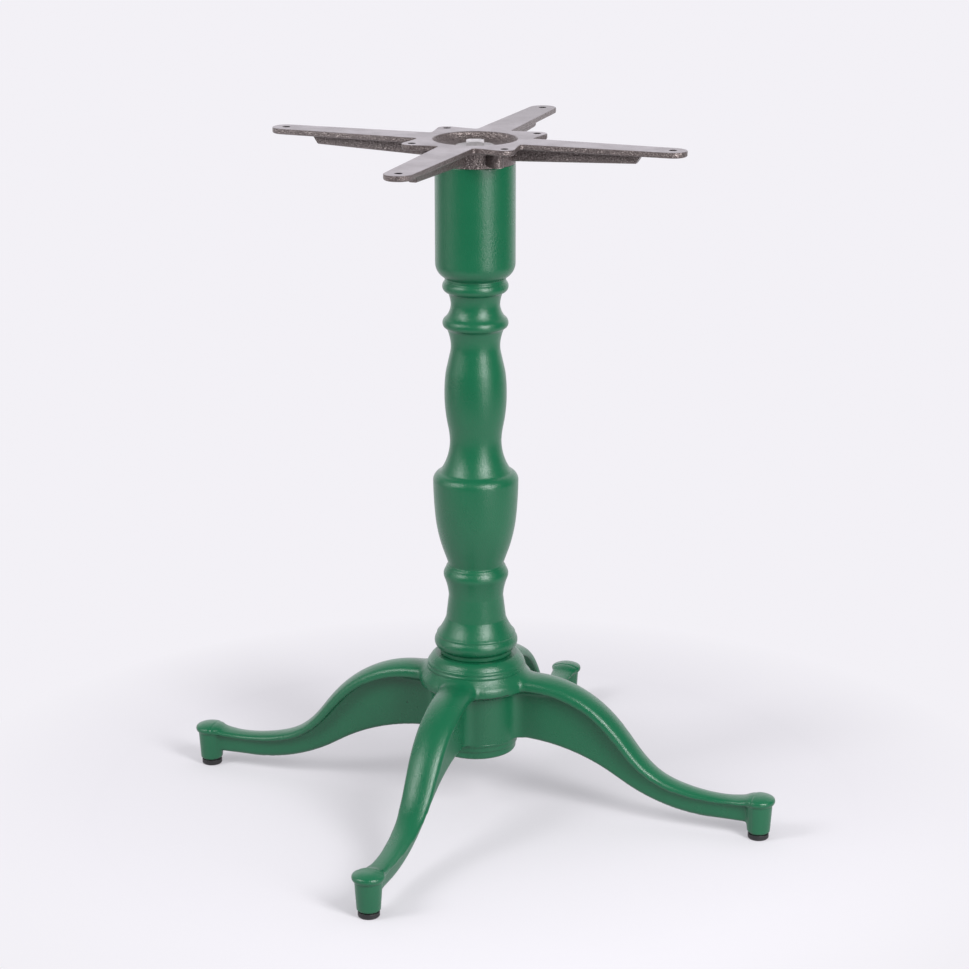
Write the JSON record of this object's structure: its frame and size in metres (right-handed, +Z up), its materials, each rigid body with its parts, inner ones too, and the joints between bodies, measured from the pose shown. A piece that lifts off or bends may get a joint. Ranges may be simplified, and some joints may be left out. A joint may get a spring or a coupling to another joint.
{
  "type": "pedestal table base",
  "caption": "Cast pedestal table base: star of S-curved legs on levelling glides, turned baluster column and a ribbed cross-shaped top casting, held by one tie bolt.",
  "frame": {"origin": "on the floor, on the axis of the column", "axes": "+Z up the column, +X and +Y along two of the legs"},
  "size_m": [0.6604, 0.6604, 0.72],
  "materials": {
    "painted_casting": "satin",
    "bare_casting": "ground",
    "zinc_plate": "zinc",
    "bolt_steel": "bright",
    "pad_plastic": "matte"
  },
  "bodies": {
    "frame": {"leg_base": "painted_casting", "column": "painted_casting", "top_spider": "bare_casting", "tie_bolt": "bolt_steel", "top_washer": "zinc_plate", "bottom_washer": "zinc_plate", "bottom_nut": "bolt_steel"},
    "glide_right": {"glide_stud_right": "bolt_steel", "glide_pad_right": "pad_plastic"},
    "glide_back": {"glide_stud_back": "bolt_steel", "glide_pad_back": "pad_plastic"},
    "glide_left": {"glide_stud_left": "bolt_steel", "glide_pad_left": "pad_plastic"},
    "glide_front": {"glide_stud_front": "bolt_steel", "glide_pad_front": "pad_plastic"}
  },
  "joints": [
    {"name": "glide_screw_right", "type": "slide", "parent": "frame", "child": "glide_right", "axis": [0, 0, -1], "range_m": [0, 0.01]},
    {"name": "glide_screw_back", "type": "slide", "parent": "frame", "child": "glide_back", "axis": [0, 0, -1], "range_m": [0, 0.01]},
    {"name": "glide_screw_left", "type": "slide", "parent": "frame", "child": "glide_left", "axis": [0, 0, -1], "range_m": [0, 0.01]},
    {"name": "glide_screw_front", "type": "slide", "parent": "frame", "child": "glide_front", "axis": [0, 0, -1], "range_m": [0, 0.01]}
  ]
}
